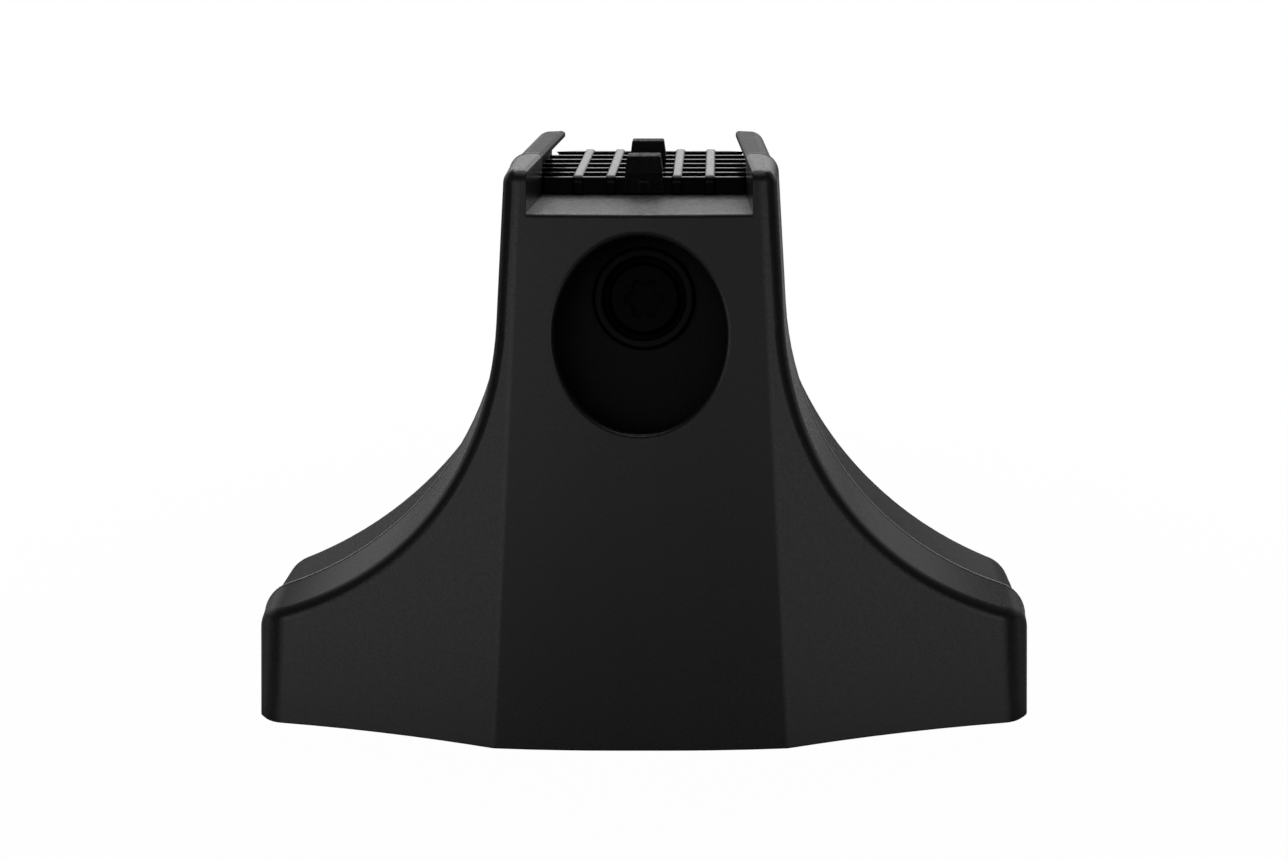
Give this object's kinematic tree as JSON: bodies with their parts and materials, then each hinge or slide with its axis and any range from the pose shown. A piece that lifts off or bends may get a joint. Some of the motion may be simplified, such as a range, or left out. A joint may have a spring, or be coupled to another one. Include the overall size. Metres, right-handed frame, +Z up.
{
  "type": "roof bar foot",
  "caption": "Roof bar foot with a ribbed bar cradle on a leaning bell-shaped two-shell body; a screw behind the front opening swings an inner lever that draws the roof clamp tight.",
  "frame": {"origin": "middle of the bounding box on the plane that rests on the roof", "axes": "+Z up from the roof, +X along the foot's long side, -Y out of the front with the tool opening; the bar lies along Y"},
  "size_m": [0.168, 0.0902, 0.1164],
  "materials": {
    "cover_plastic": "fine matt grain",
    "body_plastic": "fine matt grain",
    "pad_rubber": "moulded, dull",
    "black_steel": "black coated",
    "plated_steel": "zinc plated",
    "lever_steel": "pressed sheet, zinc plated"
  },
  "bodies": {
    "housing": {"front_cover": "cover_plastic", "foot_body": "body_plastic", "bar_pad": "pad_rubber", "screw_washer": "black_steel", "pivot_pin": "plated_steel", "pin_clips": "plated_steel", "cover_screws": "plated_steel"},
    "screw": {"tension_screw": "black_steel", "screw_clip": "plated_steel"},
    "lever": {"clamp_lever": "lever_steel"},
    "nut": {"barrel_nut": "plated_steel"},
    "bolt": {"bar_bolt": "plated_steel", "bar_bolt_washer": "plated_steel"},
    "bolt_nut": {"bar_bolt_nut": "plated_steel"}
  },
  "joints": [
    {"name": "screw_turn", "type": "hinge", "parent": "housing", "child": "screw", "pos_m": [0, 0.00067, 0.08587], "axis": [0, -0.9659, 0.2588], "range_deg": [-800, 800]},
    {"name": "lever_swing", "type": "hinge", "parent": "housing", "child": "lever", "pos_m": [0, 0.01654, 0.04849], "axis": [-1, 0, 0], "range_deg": [-6, 6]},
    {"name": "nut_swivel", "type": "hinge", "parent": "lever", "child": "nut", "pos_m": [0, 0.02482, 0.0794], "axis": [-1, 0, 0], "range_deg": [-6, 6]},
    {"name": "bar_bolt_lift", "type": "slide", "parent": "housing", "child": "bolt", "axis": [0, 0, 1], "range_m": [0, 0.0059]},
    {"name": "bolt_nut_turn", "type": "hinge", "parent": "bolt", "child": "bolt_nut", "pos_m": [0, 0.02087, 0.0945], "axis": [0, 0, 1], "continuous": true}
  ],
  "couplings": [
    {"joint": "lever_swing", "follows": "screw_turn", "ratio": 0.0074604},
    {"joint": "nut_swivel", "follows": "screw_turn", "ratio": -0.0074604}
  ]
}
